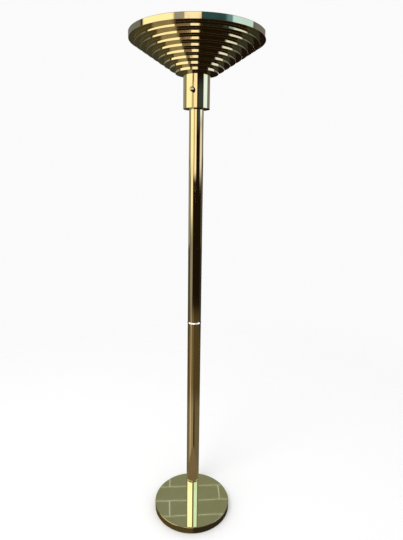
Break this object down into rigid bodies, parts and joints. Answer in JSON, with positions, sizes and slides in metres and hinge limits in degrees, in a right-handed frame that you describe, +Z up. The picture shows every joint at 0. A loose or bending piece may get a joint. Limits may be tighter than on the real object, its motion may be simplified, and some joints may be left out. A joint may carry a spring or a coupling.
{
  "type": "torchiere floor lamp",
  "caption": "Tall floor lamp with a stepped polished brass bowl that throws light upward, a slim two-part pole and a round weighted base.",
  "frame": {"origin": "centre of the round base's underside, on the floor", "axes": "+Z up along the pole, -Y the front (the dimmer knob's side), +X to the right seen from the front; the pole stands behind the origin at y = +120 mm"},
  "size_m": [0.4719, 0.506, 1.8],
  "materials": {
    "felt": "dense pressed felt",
    "polished_brass": "mirror polished, lacquered",
    "bowl_brass": "mirror polished outside, soft white enamel inside",
    "cast_iron": "rough cast, black",
    "black_plastic": "moulded",
    "plated_steel": "zinc plated",
    "ring_nickel": "bright nickel plate",
    "knob_brass": "turned and polished",
    "dimmer_case": "moulded phenolic",
    "porcelain": "glazed porcelain",
    "contact_brass": "stamped",
    "bulb_aluminium": "rolled thread",
    "bulb_insulator": "vitrite glass",
    "frosted_glass": "etched inside",
    "clear_glass": "clear",
    "tungsten": "drawn wire",
    "lead_sheath": "flexible PVC",
    "wire_black": "flexible PVC",
    "wire_white": "flexible PVC",
    "wire_red": "flexible PVC",
    "wire_green": "flexible PVC",
    "earth_green": "green dipped screw"
  },
  "bodies": {
    "lamp": {"felt_pad": "felt", "base_cover": "polished_brass", "base_weight": "cast_iron", "cord_gland": "black_plastic", "gland_nut": "black_plastic", "base_bolts": "plated_steel", "bolt_washers": "plated_steel", "pole_foot": "polished_brass", "lower_pole": "polished_brass", "pole_coupler": "plated_steel", "bead_ring": "ring_nickel", "upper_pole": "polished_brass", "pole_top_plug": "plated_steel", "pole_nipple": "plated_steel", "collar": "polished_brass", "mounting_yoke": "plated_steel", "pole_nut": "plated_steel", "dimmer_body": "dimmer_case", "dimmer_bushing": "plated_steel", "dimmer_nut": "knob_brass", "bowl": "bowl_brass", "bowl_washer": "plated_steel", "bowl_nut": "plated_steel", "holder_nipple": "plated_steel", "holder_nut": "plated_steel", "lampholder": "porcelain", "screw_shell": "contact_brass", "centre_contact": "contact_brass", "bulb_cap": "bulb_aluminium", "bulb_contact": "bulb_insulator", "bulb_glass": "frosted_glass", "bulb_stem": "clear_glass", "filament": "tungsten", "supply_lead": "lead_sheath", "line_wire": "wire_black", "neutral_wire": "wire_white", "switched_wire": "wire_red", "earth_wire": "wire_green", "earth_screw": "earth_green"},
    "dimmer_rotor": {"dimmer_shaft": "plated_steel", "dimmer_knob": "knob_brass"}
  },
  "joints": [
    {"name": "dimmer_turn", "type": "hinge", "parent": "lamp", "child": "dimmer_rotor", "pos_m": [0, 0.12, 1.618], "axis": [0.2419, 0.9703, 0], "range_deg": [0, 270]}
  ]
}
